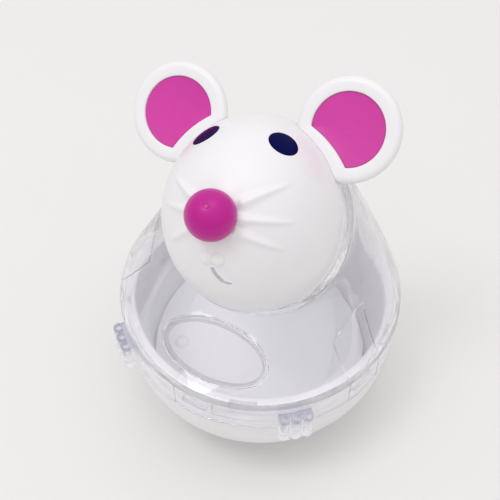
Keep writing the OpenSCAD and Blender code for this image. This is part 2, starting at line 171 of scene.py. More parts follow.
ribs = [(spigot_r + out, low + up, 0.0001) for low in rib_lows
        for out, up in ((0, -rib_ramp), (rib_out, 0), (rib_out, rib_h), (0, rib_h + rib_ramp))]
bowl_outline = (
    [(0, base_z - base_r*math.cos(math.radians(flat_join)))]
    + arc_points((0, base_z), base_r, flat_join - 90, base_join - 90, 12)
    + arc_points((corner_x, corner_z), corner_r, base_join - 90, 0, 22)[1:]
    + rounded([
        (bowl_r, ledge_z, 0.0005),
        (spigot_r, ledge_z, 0.0002),
        *ribs,
        (spigot_r, bowl_high.z, 0.0007),
        (spigot_in_r, bowl_high.z, 0.0007),
        (spigot_in_r, ledge_z, 0.0006),
        (bowl_r - bowl_wall, ledge_z - 0.003, 0.0008),
        (bowl_r - bowl_wall, corner_z, 0)])
    + arc_points((corner_x, corner_z), corner_r - bowl_wall, 0, base_join - 90, 16)[1:]
    + arc_points((0, base_z), base_r - bowl_wall, base_join - 90, flat_join - 90, 8)[1:]
    + [(0, base_z - (base_r - bowl_wall)*math.cos(math.radians(flat_join)))])
bowl = turned("bowl", bowl_outline, 200)
for k in range(lug_count):
    lug_angle = k*lug_pitch - 90
    run = curved_block("run", (spigot_r - channel_deep, spigot_r + 0.002),
                       (lug_top - lug_h - 0.0003, lug_top + 0.0003),
                       lug_angle - channel_sweep/2, channel_sweep + unlock_turn)
    work(bowl, run)
    # a hair shallower and narrower than the run, so that no two faces of the cuts coincide
    way_in = curved_block("way_in", (spigot_r - channel_deep + 0.00003, spigot_r + 0.003),
                          (lug_top - lug_h/2, rim_z),
                          lug_angle + unlock_turn - channel_sweep/2, channel_sweep - 0.05)
    work(bowl, way_in)
weight_z = rim_z - 0.04097
cover_z = weight_z + 0.0063
seat_r = 0.0130
seat_in_r = 0.0114
seat_foot = bowl_low.z + 0.001          # sunk in the bowl's floor
seat = turned("seat", rounded([
    (seat_r, seat_foot, 0), (seat_r, weight_z, 0.0003), (seat_in_r, weight_z, 0.0003),
    (seat_in_r, seat_foot, 0), (seat_r, seat_foot, 0)]), 96)
work(bowl, seat, "UNION")
pin_circle_r = 0.026
pin_circle = [Matrix.Rotation(math.radians(90 + 120*k), 4, "Z") @ Matrix.Translation((pin_circle_r, 0, 0))
              for k in range(3)]
for spot in pin_circle:
    boss = turned("boss", [
        (0, cover_z - 0.010), (0.0027, cover_z - 0.010), (0.0027, cover_z - 0.0003), (0.0024, cover_z),
        (0.00125, cover_z), (0.00125, cover_z - 0.008), (0, cover_z - 0.008)], 32)
    boss.data.transform(spot)
    work(bowl, boss, "UNION")
close_up(bowl)


class Value:
    """A shader socket that does arithmetic, adding one Math node for each step."""

    def __init__(self, finish, socket):
        self.finish = finish
        self.socket = socket

    def maths(self, operation, *terms):
        return self.finish.node("ShaderNodeMath", {"operation": operation}, dict(enumerate(terms)))

    def __add__(self, other):
        return self.maths("ADD", self, other)

    def __sub__(self, other):
        return self.maths("SUBTRACT", self, other)

    def __rsub__(self, other):
        return self.maths("SUBTRACT", other, self)

    def __mul__(self, other):
        return self.maths("MULTIPLY", self, other)

    def __truediv__(self, other):
        return self.maths("DIVIDE", self, other)

    __radd__ = __add__
    __rmul__ = __mul__


class Finish:
    """A material on one Principled shader. Any other node comes from its node method."""

    def __init__(self, name, **constants):
        self.material = bpy.data.materials.new(name)
        self.material.use_nodes = True
        self.tree = self.material.node_tree
        self.shader = self.tree.nodes["Principled BSDF"]
        for key, value in constants.items():
            self.shader.inputs[key.replace("_", " ").title().replace("Ior", "IOR")].default_value = value
        self.place = self.node("ShaderNodeTexCoord", output="Object")

    def node(self, kind, settings=None, sockets=None, output=0):
        node = self.tree.nodes.new(kind)
        for key, value in (settings or {}).items():
            if key == "stops":
                ramp = node.color_ramp
                ramp.elements[0].position, ramp.elements[0].color = value[0]
                ramp.elements[1].position, ramp.elements[1].color = value[-1]
                for position, colour in value[1:-1]:
                    ramp.elements.new(position).color = colour
            else:
                setattr(node, key, value)
        for key, value in (sockets or {}).items():
            self.feed(node.inputs[key], value)
        return Value(self, node.outputs[output])

    def feed(self, socket, value):
        if isinstance(value, Value):
            self.tree.links.new(value.socket, socket)
        else:
            socket.default_value = value

    def noise(self, scale, detail=3.0, roughness=0.5):
        return self.node("ShaderNodeTexNoise", {}, {
            "Vector": self.place, "Scale": scale, "Detail": detail, "Roughness": roughness}, "Fac")

    def ramp(self, value, low, high):
        """Nought below low, one above high."""
        return self.node("ShaderNodeMapRange", {"interpolation_type": "SMOOTHSTEP"},
                         {"Value": value, "From Min": low, "From Max": high}, "Result")

    def blend(self, mask, first, second):
        """The first colour where the mask is nought, the second where it is one."""
        return self.node("ShaderNodeMix", {"data_type": "RGBA"}, {0: mask, 6: first, 7: second}, 2)

    def lit_through(self, tint, share):
        """Lets lamps and bounced light straight through, and a share of what is seen."""
        path = self.node("ShaderNodeLightPath", output="Is Shadow Ray")
        bounced = Value(self, path.socket.node.outputs["Is Diffuse Ray"])
        straight = self.node("ShaderNodeBsdfTransparent", sockets={"Color": tint})
        mixed = self.node("ShaderNodeMixShader", sockets={
            0: path.maths("MAXIMUM", path.maths("MAXIMUM", path, bounced), share),
            1: Value(self, self.shader.outputs[0]), 2: straight})
        self.tree.links.new(mixed.socket, self.tree.nodes["Material Output"].inputs["Surface"])

    def bump(self, height, strength, distance):
        return self.node("ShaderNodeBump", {}, {"Height": height, "Strength": strength, "Distance": distance},
                         "Normal")

    def set(self, **links):
        for key, value in links.items():
            self.feed(self.shader.inputs[key.replace("_", " ").title()], value)

    def on(self, *pieces):
        for piece in pieces:
            piece.data.materials.clear()
            piece.data.materials.append(self.material)


def moulded(finish, base, deep, rough, waviness=0.12):
    """Gives a moulding its slow flow marks, rub marks, dust and the faint waves of its polished tool."""
    flow = finish.ramp(finish.noise(55, 4, 0.55), 0.35, 0.7)
    rubs = finish.ramp(finish.noise(420, 5, 0.7), 0.52, 0.75)
    specks = finish.ramp(finish.noise(2600, 1), 0.74, 0.8)
    finish.set(Base_Color=finish.blend(flow*0.6 + specks*0.4, base, deep),
               Roughness=rough + flow*0.05 + rubs*0.12 + specks*0.2,
               Normal=finish.bump(finish.noise(150, 2)*0.8 + rubs*0.06 + specks*0.15, waviness, 0.0004))


white_plastic = Finish("white moulding", ior=1.49, coat_weight=0.08, coat_roughness=0.2)
moulded(white_plastic, (0.845, 0.837, 0.857, 1), (0.815, 0.807, 0.832, 1), 0.34, 0.05)
white_plastic.on(bowl)
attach(bowl, "root")
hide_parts("base_bowl")


# ---- Ballast weight ----
# A cast iron disc lies on the seat in the bottom of the bowl and makes the toy stand up again.
# It is left as cast, with a cut face and a chamfer round its top.
weight_r = 0.021
weight = turned("ballast_disc", rounded([
    (0, weight_z, 0), (weight_r, weight_z, 0.0004), (weight_r, weight_z + 0.005, 0.0002),
    (weight_r - 0.001, weight_z + 0.006, 0.0002), (0.004, weight_z + 0.006, 0.0003),
    (0.0034, weight_z + 0.0054, 0.0002), (0, weight_z + 0.0054, 0)]), 128)
iron = Finish("cast iron", metallic=0.9)
grain = iron.noise(700, 6, 0.65)
rust = iron.ramp(iron.noise(160, 5, 0.7), 0.58, 0.72)
iron.set(Base_Color=iron.blend(rust*0.7, (0.11, 0.11, 0.115, 1), (0.2, 0.1, 0.05, 1)),
         Roughness=0.5 + grain*0.3, Normal=iron.bump(grain, 0.6, 0.0004))
iron.on(weight)
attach(weight, "root")
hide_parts("ballast_weight")


# ---- Ballast cover ----
# The white cover is moulded with a dished edge and is the floor of the treat chamber.
# It has three holes for its pins.
cover_wall = 0.0016
cover_low, cover_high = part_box("ballast_cover")
cover = turned("chamber_floor", rounded([
    (0, cover_z, 0), (0.0294, cover_z, 0.001), (cover_high.x, cover_low.z + 0.0032, 0),
    (cover_high.x, cover_high.z, 0.0004), (0.029, cover_z + cover_wall, 0.0025),
    (0.0016, cover_z + cover_wall, 0.0003), (0.0009, cover_z + cover_wall - 0.00015, 0.0002),
    (0, cover_z + cover_wall - 0.00015, 0)]), 160)
for spot in pin_circle:
    bore = turned("bore", [(0, cover_z - 0.001), (0.0015, cover_z - 0.001), (0.0015, cover_z + 0.004),
                           (0, cover_z + 0.004)], 32)
    bore.data.transform(spot)
    work(cover, bore)
close_up(cover)
cover_plastic = Finish("white cover", ior=1.49, coat_weight=0.08, coat_roughness=0.2)
moulded(cover_plastic, (0.93, 0.925, 0.95, 1), (0.91, 0.905, 0.93, 1), 0.34, 0.05)
cover_plastic.on(cover)
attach(cover, "root")
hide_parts("ballast_cover")


# ---- Cover pins ----
# Three white moulded pins with low domed heads are pressed into the bosses and hold the cover down.
# One is turned, and the other two are copies of it.
head_z = cover_z + cover_wall
pin_r = 0.0012
pin_head_r = 0.0025
pin_dome_r = 0.0034
touch = 0.00002                         # gap under a face that bears on another piece
pin_dome_z = head_z + 0.0012 - pin_dome_r
pin_edge = math.degrees(math.acos(pin_head_r/pin_dome_r))
pin_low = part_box("cover_pins")[0].z
pin = turned("cover_pin", [(0, pin_low), (0.0008, pin_low), (pin_r, pin_low + 0.0006),
                           (pin_r, head_z + touch), (pin_head_r - 0.00005, head_z + touch)]
             + arc_points((0, pin_dome_z), pin_dome_r, pin_edge, 90, 14), 64)
for k, spot in enumerate(pin_circle):
    copy = pin.copy()
    copy.data = pin.data.copy()
    bpy.context.collection.objects.link(copy)
    copy.name = f"cover_pin_{k + 1}"
    copy.data.transform(spot)
    cover_plastic.on(copy)
    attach(copy, "root")
    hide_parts("cover_pins")
bpy.data.objects.remove(pin)


# ---- Clear shell ----
# The body is one clear moulding: a skirt over the bowl's spigot, a shoulder that rises to a slanted
# collar, an oval outlet in front, and five slide marks where the tool drew out from over the lugs.
neck_joint = next(j for j in frame["joints"] if j["name"] == "head_turn")
neck_axis = Vector(neck_joint["axis"])
neck_tilt = math.atan2(-neck_axis.y, neck_axis.z)
collar = Matrix.Translation(neck_joint["pos_m"]) @ Matrix.Rotation(neck_tilt, 4, "X")
shell_r = 0.043
shell_wall = 0.002
skirt_low = rim_z - 0.0117
collar_bore = 0.0254
collar_r = collar_bore + 0.0016
collar_h = 0.006
edge_round = 0.0004
rim_round = 0.0009                      # rounding between the skirt and the shoulder
rim_in = 0.00035                        # the shoulder is drawn from this far inside the rim
mark_half = 0.0062                      # half the width of a slide mark
mark_top_r = 0.0333                     # it ends this far from the axis
line_half = 0.00022                     # half the width of the fine line round it
line_deep = 0.0003
slope_run = 0.020                       # rough length of the shoulder, from the rim to the collar
rise = (23, 62, 74)                     # rise of the shoulder at the rim in front, at the side, behind
lead_rim = (0.0130, 0.0142, 0.0090)
lead_neck = (0.0047, 0.0050, 0.0040)


def round_mix(values, a):
    """A value that goes from front to side to back as the angle a goes from nought to pi."""
    front, side, back = values
    return side + (front - back)/2*math.cos(a) + ((front + back)/2 - side)*math.cos(a)**2


def outward(a):
    return Vector((math.sin(a), -math.cos(a), 0))


def rising(a):
    """The shoulder's direction where it leaves the rim."""
    climb = math.radians(round_mix(rise, a))
    return -math.cos(climb)*outward(a) + Vector((0, 0, math.sin(climb)))


def on_collar(r, a, h):
    return collar @ Vector((r*math.sin(a), -r*math.cos(a), h))


def rim_corner(a):
    drop = rim_in*math.tan(math.radians(round_mix(rise, a)))
    return shell_r*outward(a) + Vector((0, 0, rim_z - drop))


def bezier(points, t):
    a, b, c, d = points
    return (1 - t)**3*a + 3*(1 - t)**2*t*b + 3*(1 - t)*t*t*c + t**3*d


def outer_slope(a):
    start = rim_corner(a) + rim_round*rising(a)
    end = on_collar(collar_r, a, -collar_h)
    foot = (shell_r - rim_in)*outward(a) + Vector((0, 0, rim_z))
    return start, foot + round_mix(lead_rim, a)*rising(a), end - round_mix(lead_neck, a)*neck_axis, end


def inner_slope(a):
    climb = math.radians(round_mix(rise, a))
    drop = shell_wall*math.tan(math.pi/4 - climb/2)
    start = (shell_r - shell_wall)*outward(a) + Vector((0, 0, rim_z - drop))
    end = on_collar(collar_bore, a, -collar_h)
    return start, start + round_mix(lead_rim, a)*rising(a), end - round_mix(lead_neck, a)*neck_axis, end


def reach(points, r):
    """How far up a slope its distance from the bowl's axis comes down to r."""
    low, high = 0.0, 1.0
    for _ in range(30):
        middle = (low + high)/2
        p = bezier(points, middle)
        if math.hypot(p.x, p.y) > r:
            low = middle
        else:
            high = middle
    return low


# across each fifth of the shell: inside the mark, its fine line, and the plain stretch to the next mark
inside = [mark_half*k/9 for k in range(9)] + [mark_half - line_half]
half_columns = [("mark", x) for x in inside] + [("line", mark_half), ("mark", mark_half + line_half)]
plain = [("plain", (k + 1)/20) for k in range(20)]
columns = [(side, kind, x) for side in (1, -1) for kind, x in half_columns + plain]
columns = [c for c in columns if c != (-1, "mark", 0.0) and c[1:] != ("plain", 1.0)] + [(1, "plain", 1.0)]


def column_angle(fifth, side, kind, x, r):
    """Angle of a column where its row is r from the axis, so that a mark keeps its width all the way up."""
    mark_edge = math.asin(min(1, (mark_half + line_half)/r))
    turn = mark_edge + x*(math.pi/lug_count - mark_edge) if kind == "plain" else math.asin(x/r)
    return fifth*2*math.pi/lug_count + side*turn


def surface_rows(fifth, side, kind, x):
    """One column of the whole shell: up the outside, over the collar's mouth and down the inside."""
    def angle(r):
        return column_angle(fifth, side, kind, x, r)

    marked = kind != "plain"
    sunk = line_deep if kind == "line" else 0
    a = angle(shell_r)
    up = Vector((0, 0, 1))
    rows = []
    corner_in = edge_round*0.3
    for r, z in ((shell_r - edge_round, skirt_low), (shell_r - corner_in, skirt_low + corner_in),
                 (shell_r, skirt_low + edge_round), (shell_r, skirt_low + 0.003),
                 (shell_r, skirt_low + 0.006)):
        rows.append((r - sunk)*outward(a) + Vector((0, 0, z)))
    corner = rim_corner(a)
    for k in range(7):
        t = k/6
        p = (corner - rim_round*up)*(1 - t)**2 + 2*t*(1 - t)*corner + (corner + rim_round*rising(a))*t*t
        rows.append(p - sunk*(outward(a)*(1 - t) + up*t).normalized())
    middle = fifth*2*math.pi/lug_count
    lean = math.cos(angle(mark_top_r) - middle)
    top_r = mark_top_r*math.cos(math.asin(mark_half/mark_top_r))/lean if marked else mark_top_r
    centre_slope = outer_slope(middle)
    slope_top = reach(outer_slope(angle(mark_top_r)), top_r)
    centre_top = reach(centre_slope, mark_top_r)
    line_t = line_half/slope_run
    steps = [(k/14*(slope_top - line_t), False) for k in range(1, 14)]
    steps += [(slope_top - line_t, False), (slope_top, True), (slope_top + line_t, False)]
    steps += [(slope_top + line_t + (1 - slope_top - line_t)*k/16, False) for k in range(1, 17)]
    for t, edge in steps:
        share = min(t/slope_top, 1.0)*centre_top
        p_mid = bezier(centre_slope, share)
        b = angle(max(mark_top_r, math.hypot(p_mid.x, p_mid.y)))
        slope = outer_slope(b)
        p = bezier(slope, t)
        below = t < slope_top
        depth = line_deep if (kind == "line" and below) or (edge and marked) else 0
        if depth:
            run = bezier(slope, min(t + 0.01, 1)) - bezier(slope, t - 0.01)
            p = p - depth*Vector((math.cos(b), math.sin(b), 0)).cross(run).normalized()
        rows.append(p)
    a = angle(mark_top_r)
    profile = [(collar_r, -0.004), (collar_r, -0.002), (collar_r, -edge_round),
               (collar_r - corner_in, -corner_in), (collar_r - edge_round, 0), (collar_bore + edge_round, 0),
               (collar_bore + corner_in, -corner_in), (collar_bore, -edge_round)]
    # the groove for the head's snap bead
    profile += [(collar_bore, -0.0037), (collar_bore + 0.0004, -0.0040), (collar_bore + 0.0006, -0.0046),
                (collar_bore + 0.0004, -0.0052), (collar_bore, -0.0055)]
    rows += [on_collar(r, a, h) for r, h in profile]
    inner = inner_slope(a)
    rows += [bezier(inner, 1 - k/26) for k in range(27)]
    r_in = shell_r - shell_wall
    drop = skirt_low - rim_z
    for r, z in ((r_in, -0.004), (r_in, -0.008), (r_in, drop + edge_round),
                 (r_in + corner_in, drop + corner_in), (r_in + edge_round, drop)):
        rows.append(r*outward(a) + Vector((0, 0, rim_z + z)))
    return rows


shell_columns = [surface_rows(fifth, *column) for fifth in range(lug_count) for column in
                 sorted(columns, key=lambda c: column_angle(0, *c, shell_r))]
row_count = len(shell_columns[0])
bpy.ops.mesh.primitive_grid_add(x_subdivisions=len(shell_columns), y_subdivisions=row_count)
shell = bpy.context.object
shell.name = "clear_body"
for v in shell.data.vertices:
    column, row = v.index % (len(shell_columns) + 1), v.index//(len(shell_columns) + 1)
    v.co = shell_columns[column % len(shell_columns)][row % row_count]
close_up(shell)

outlet = (Matrix.Translation((0, -0.0301, rim_z + 0.0046)) @ Matrix.Rotation(math.radians(24.4), 4, "X"))
outlet_half = (0.0165, 0.0088)
lip_deep = 0.0028
lip_narrow = 0.0016


def oval(name, profile):
    """A closed oval plug from (inset, height) rings, lying in the outlet's face."""
    bpy.ops.mesh.primitive_circle_add(vertices=144, radius=1, fill_type="NGON")
    piece = bpy.context.object
    piece.name = name
    edit(piece)
    bpy.ops.mesh.select_all(action="SELECT")
    for _ in profile[1:]:
        bpy.ops.mesh.extrude_region_move(TRANSFORM_OT_translate={"value": (0, 0, 1)})
    bpy.ops.object.mode_set(mode="OBJECT")
    for v in piece.data.vertices:
        inset, height = profile[round(v.co.z)]
        v.co = (v.co.x*(outlet_half[0] - inset), v.co.y*(outlet_half[1] - inset), height)
    piece.data.transform(outlet)
    edit(piece)
    bpy.ops.mesh.select_all(action="SELECT")
    bpy.ops.mesh.normals_make_consistent(inside=False)
    bpy.ops.object.mode_set(mode="OBJECT")
    return piece


work(shell, oval("lip", [(0, -lip_deep), (-0.0004, -lip_deep + 0.0004), (-0.0004, -0.0005)]), "UNION")
work(shell, oval("way_out", [
    (lip_narrow, -0.009), (lip_narrow, -lip_deep + 0.0003), (lip_narrow - 0.0003, -lip_deep + 0.0008),
    (0.0002, -0.0003), (0, 0), (0, 0.006)]))
lug_sweep = 10.6
lug_root_r = shell_r - shell_wall
for k in range(lug_count):
    lug = curved_block("lug", (lug_root_r - 0.001, lug_root_r + 0.0005), (lug_top - lug_h, lug_top),
                       k*lug_pitch - 90 - lug_sweep/2, lug_sweep)
    work(shell, lug, "UNION")
close_up(shell, 40)
clear_plastic = Finish("clear moulding", ior=1.49, transmission_weight=1.0)
sheen_marks = clear_plastic.ramp(clear_plastic.noise(300, 5, 0.7), 0.55, 0.8)
clear_flow = clear_plastic.ramp(clear_plastic.noise(40, 3, 0.5), 0.35, 0.7)
clear_tint = clear_plastic.blend(clear_flow, (0.985, 0.982, 1.0, 1), (0.970, 0.966, 0.990, 1))
clear_plastic.set(Base_Color=clear_tint, Roughness=0.015 + sheen_marks*0.05,
                  Normal=clear_plastic.bump(clear_plastic.noise(90, 2), 0.18, 0.0006))
clear_plastic.lit_through((0.99, 0.988, 1.0, 1), 0.25)
clear_plastic.on(shell)
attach(shell, "shell")
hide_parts("clear_shell")


# ---- Feet ----
# Two clear three-toed feet are moulded apart and welded to the skirt, either side of the front.
# Each toe is a small hollow post that ends in a round pad.
toe_r = 0.00155
toe_pitch = 0.0034
toe_out = 0.0019
toe_top = rim_z - 0.0032
pad_r = 0.00175
pad_z = toe_top - 0.0119 + pad_r        # the whole toe is 11.9 mm high
foot_angle = 40
weld_r = shell_r + 0.00003              # the foot's back bears on the skirt
toe_step = math.degrees(toe_pitch/(shell_r + toe_out))
foot = curved_block("foot_plate", (weld_r, shell_r + 0.0009), (skirt_low + 0.0004, toe_top),
                    -toe_step - 2.07, 2*toe_step + 4.13)
for k in (-1, 0, 1):
    toe = turned("toe", [(0, toe_top - 0.0045), (toe_r*0.42, toe_top - 0.0045),
                         (toe_r*0.55, toe_top - 0.0040), (toe_r*0.6, toe_top), (toe_r, toe_top),
                         (toe_r*1.04, toe_top - 0.0004), (toe_r, toe_top - 0.0012),
                         (toe_r*0.97, pad_z + 0.0016)]
                 + arc_points((0, pad_z), pad_r, 52, -90, 12), 40)
    toe.data.transform(Matrix.Rotation(math.radians(k*toe_step), 4, "Z")
                       @ Matrix.Translation((shell_r + toe_out, 0, 0)))
    work(foot, toe, "UNION")
bpy.ops.mesh.primitive_cylinder_add(vertices=400, radius=weld_r, depth=0.06, location=(0, 0, rim_z))
bpy.ops.object.transform_apply(location=True)
work(foot, bpy.context.object)
close_up(foot, 40)
toe_plastic = Finish("clear feet", ior=1.49, transmission_weight=0.72)
toe_height = toe_plastic.node("ShaderNodeSeparateXYZ", sockets={"Vector": toe_plastic.place}, output="Z")
# painted shade: the tops of the clear toes are coloured dark violet to stand in for the shadow inside their
# hollow tops
painted_hollow_shade = toe_plastic.ramp(toe_height, toe_top - 0.0016, toe_top - 0.0007)
toe_flow = toe_plastic.ramp(toe_plastic.noise(300, 3, 0.6), 0.4, 0.7)
toe_clear = toe_plastic.blend(toe_flow, (0.985, 0.985, 1.0, 1), (0.95, 0.945, 0.98, 1))
toe_plastic.set(Base_Color=toe_plastic.blend(painted_hollow_shade*0.8, toe_clear, (0.30, 0.29, 0.44, 1)),
                Roughness=0.02 + toe_flow*0.05,
                Normal=toe_plastic.bump(toe_plastic.noise(400, 2), 0.2, 0.0003))
toe_plastic.lit_through((0.98, 0.98, 1.0, 1), 0.15)
for name, side in (("foot_l", 1), ("foot_r", -1)):
    copy = foot.copy()
    copy.data = foot.data.copy()
    bpy.context.collection.objects.link(copy)
    copy.name = name
    copy.data.transform(Matrix.Rotation(math.radians(side*foot_angle - 90), 4, "Z"))
    toe_plastic.on(copy)
    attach(copy, "shell")
    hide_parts("foot_left" if side == 1 else "foot_right")
bpy.data.objects.remove(foot)


# ---- Head ----
# The head is a hollow white moulding: a long dome with a round spigot that snaps into the collar.
# Whisker ridges, two bumps over the mouth, the mouth's opening and the eye sockets are moulded in.
head_way = 13.4                         # it is turned this far from the body's front, in degrees
head = collar @ Matrix.Rotation(math.radians(head_way), 4, "Z")
dome_half = Vector((0.0249, 0.0272, 0.0328))
dome_mid = Vector((0, 0.0017, -0.0026))
dome_foot = 0.00035
head_wall = 0.0018
neck_r = 0.0251
nose_up = 0.0029


def dome(x, y):
    """The dome's surface over a point, and the way it faces there."""
    u, v = x/dome_half.x, (y - dome_mid.y)/dome_half.y
    z = dome_mid.z + dome_half.z*math.sqrt(max(0, 1 - u*u - v*v))
    face = Vector((u/dome_half.x, v/dome_half.y, (z - dome_mid.z)/dome_half.z**2)).normalized()
    return Vector((x, y, z)), face


def half_dome(name, grow, cut, cuts):
    """An ellipsoid cut off level, with its face cut finer where ridges are to be raised."""
    bpy.ops.mesh.primitive_uv_sphere_add(segments=256, ring_count=128, radius=1)
    piece = bpy.context.object
    piece.name = name
    half = dome_half + Vector((grow, grow, grow))
    piece.data.transform(Matrix.Translation(dome_mid) @ Matrix.Diagonal(half.to_4d()))
    edit(piece)
    bpy.ops.mesh.select_all(action="SELECT")
    bpy.ops.mesh.bisect(plane_co=(0, 0, cut), plane_no=(0, 0, 1), clear_inner=True)
    bpy.ops.object.mode_set(mode="OBJECT")
    if cuts:
        for face in piece.data.polygons:
            face.select = face.center.z > 0.010 and face.center.y < 0.016
        for kind in (piece.data.vertices, piece.data.edges):
            for part in kind:
                part.select = False
        edit_selected(piece)
        bpy.ops.mesh.subdivide(number_cuts=cuts)
        bpy.ops.object.mode_set(mode="OBJECT")
        for v in piece.data.vertices:
            if v.co.z > cut + 0.0001:
                p = v.co - dome_mid
                v.co = dome_mid + p/math.sqrt(sum((p[i]/half[i])**2 for i in range(3)))
    return piece


def edit_selected(piece):
    """Opens a piece for editing with the faces that were picked."""
    bpy.ops.object.select_all(action="DESELECT")
    bpy.context.view_layer.objects.active = piece
    piece.select_set(True)
    picked = [face.index for face in piece.data.polygons if face.select]
    bpy.ops.object.mode_set(mode="EDIT")
    bpy.ops.mesh.select_all(action="DESELECT")
    bpy.ops.mesh.select_mode(type="FACE")
    bpy.ops.object.mode_set(mode="OBJECT")
    for index in picked:
        piece.data.polygons[index].select = True
    bpy.ops.object.mode_set(mode="EDIT")


# each whisker ridge runs from its root beside the nose to its tip, three on each side: (side, up) of both
ridge_h = 0.0011
ridge_half = 0.0012
bump_h = 0.0009
bump_r = 0.0018
bump_side = 0.00155
bump_mid = Vector((-0.0006, -0.0082))
whiskers = [((0.0062, 0.0064), (0.0154, 0.0121)), ((0.0056, 0.0025), (0.0177, 0.0026)),
            ((0.0052, -0.0007), (0.0159, -0.0043))]
whiskers += [((-0.0072, 0.0064), (-0.0154, 0.0108)), ((-0.0072, 0.0029), (-0.0166, 0.0031)),
             ((-0.0070, -0.0022), (-0.0146, -0.0062))]


def ridge(p, root, tip):
    """Height of a whisker ridge over a point: tall and round at its root, drawn out to nothing."""
    root, tip = Vector(root), Vector(tip)
    run = tip - root
    along = max(0.0, min(1.0, (p - root).dot(run)/run.length_squared))
    away = (p - root - along*run).length
    width = ridge_half*(1 - along/2)
    return ridge_h*(1 - along)**0.7*math.exp(-(away/width)**2)


head_shell = half_dome("head_moulding", 0, dome_foot, 1)
for v in head_shell.data.vertices:
    if v.co.z > 0.010:
        flat = Vector((v.co.x, v.co.y))
        lift = max(ridge(flat, *w) for w in whiskers)
        for side in (-1, 1):
            away = (flat - bump_mid - Vector((side*bump_side, 0))).length/bump_r
            lift = max(lift, bump_h*max(0, 1 - away*away)**0.7)
        if lift > 0.00001:
            v.co = v.co + dome(v.co.x, v.co.y)[1]*lift

hollow = half_dome("hollow", -head_wall, dome_foot + head_wall, 0)
spigot_top = dome_foot + 0.0006
spigot = turned("spigot", rounded([
    (0.0225, spigot_top, 0), (neck_r, spigot_top, 0), (neck_r, -0.0038, 0.0001),
    (neck_r + 0.0004, -0.0043, 0.0002), (neck_r + 0.00052, -0.0046, 0.0001),
    (neck_r + 0.0004, -0.0049, 0.0002), (neck_r, -0.0054, 0.0001), (neck_r, -0.0070, 0.0005),
    (neck_r - head_wall, -0.0070, 0.0003),
    (neck_r - head_wall, spigot_top, 0), (0.0225, spigot_top, 0)]), 192)
for piece in (head_shell, hollow):
    edit(piece)
    bpy.ops.mesh.select_mode(type="EDGE")
    bpy.ops.mesh.select_non_manifold()
    bpy.ops.mesh.edge_face_add()
    bpy.ops.mesh.select_all(action="SELECT")
    bpy.ops.mesh.normals_make_consistent(inside=False)
    bpy.ops.object.mode_set(mode="OBJECT")
bpy.ops.mesh.primitive_cylinder_add(vertices=192, radius=neck_r - head_wall, depth=0.012,
                                    location=(0, 0, -0.003))
bpy.ops.object.transform_apply(location=True)
neck_bore = bpy.context.object
work(head_shell, hollow)
work(head_shell, spigot, "UNION")
work(head_shell, neck_bore)

nose_seat = dome(0, nose_up)[0].z + 0.0003
seat = turned("nose_seat", [
    (0, nose_seat - 0.003), (0.0055, nose_seat - 0.003), (0.0050, nose_seat - 0.0004), (0.0048, nose_seat),
    (0.00216, nose_seat), (0.00216, nose_seat - 0.002), (0, nose_seat - 0.002)], 64)
seat.data.transform(Matrix.Translation((0, nose_up, 0)))
work(head_shell, seat, "UNION")


def loft(name, outline, profile, middle, soften=0):
    """A closed piece from copies of an outline: (share of its size, height) for each ring.

    With soften, small rings come nearer to a circle of that radius.
    """
    bpy.ops.mesh.primitive_circle_add(vertices=len(outline), radius=1, fill_type="NGON")
    piece = bpy.context.object
    piece.name = name
    edit(piece)
    bpy.ops.mesh.select_all(action="SELECT")
    for _ in profile[1:]:
        bpy.ops.mesh.extrude_region_move(TRANSFORM_OT_translate={"value": (0, 0, 1)})
    bpy.ops.object.mode_set(mode="OBJECT")
    count = len(outline)
    for v in piece.data.vertices:
        a = math.atan2(v.co.y, v.co.x)
        share, height = profile[round(v.co.z)]
        p = outline[round(a/(2*math.pi)*count) % count]
        if soften:
            p = p*share + p.normalized()*soften*(1 - share)
        p = p*share
        v.co = (middle[0] + p.x, middle[1] + p.y, height)
    edit(piece)
    bpy.ops.mesh.select_all(action="SELECT")
    bpy.ops.mesh.normals_make_consistent(inside=False)
    bpy.ops.object.mode_set(mode="OBJECT")
    return piece


# the mouth's sides slant, and its lower corner on the mouse's right is cut away
mouth_w = 0.005
mouth_h = 0.004
mouth_place = (0.0012, -0.0124)
mouth_z = dome(*mouth_place)[0].z
mouth_corners = [(0.52, -0.5), (0.4, 0.56), (-0.5, 0.46), (-0.38, 0), (-0.08, -0.46), (0.32, -0.6)]
mouth_line = rounded([(x*mouth_w, y*mouth_h, 0.0003) for x, y in mouth_corners], 4)
work(head_shell, loft("mouth", [Vector(p) for p in mouth_line], [(1, mouth_z - 0.007), (1, mouth_z + 0.007)],
                      mouth_place))
eye_r = 0.004
eye_side = 0.0106
eye_up = 0.0214
for side in (-1, 1):
    spot, face = dome(side*eye_side, eye_up)
    socket = turned("socket", [(0, -0.0011), (eye_r + 0.00006, -0.0011), (eye_r + 0.00006, -0.0002),
                               (eye_r + 0.00010, 0.00002), (eye_r + 0.0003, 0.004), (0, 0.004)], 96)
    socket.data.transform(Matrix.Translation(spot) @ face.to_track_quat("Z", "Y").to_matrix().to_4x4())
    work(head_shell, socket)
head_shell.data.transform(head)
close_up(head_shell, 32)
white_plastic.on(head_shell)
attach(head_shell, "head")
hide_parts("head_shell")


# ---- Ears ----
# Each ear is a thick white disc with a rounded rim, glued against the head on a hidden tab.
# A pocket in its front takes the pink lining and stops short of the head, which leaves a raised border.
ear_r = 0.0138
ear_t = 0.004
ear_side = 0.0238
ear_up = 0.0264
ear_z = dome_foot + ear_t/2 + 0.00005
lining_r = 0.0097
lining_t = 0.0012
recess = 0.0005
ear_edge = 0.0017
border = 0.0025


ear_mid = Vector((ear_side, ear_up - dome_mid.y))
# the dome's own radius towards the ear, and the border that is left along it
cut_r = ear_mid.length/math.hypot(ear_mid.x/dome_half.x, ear_mid.y/dome_half.y) + border


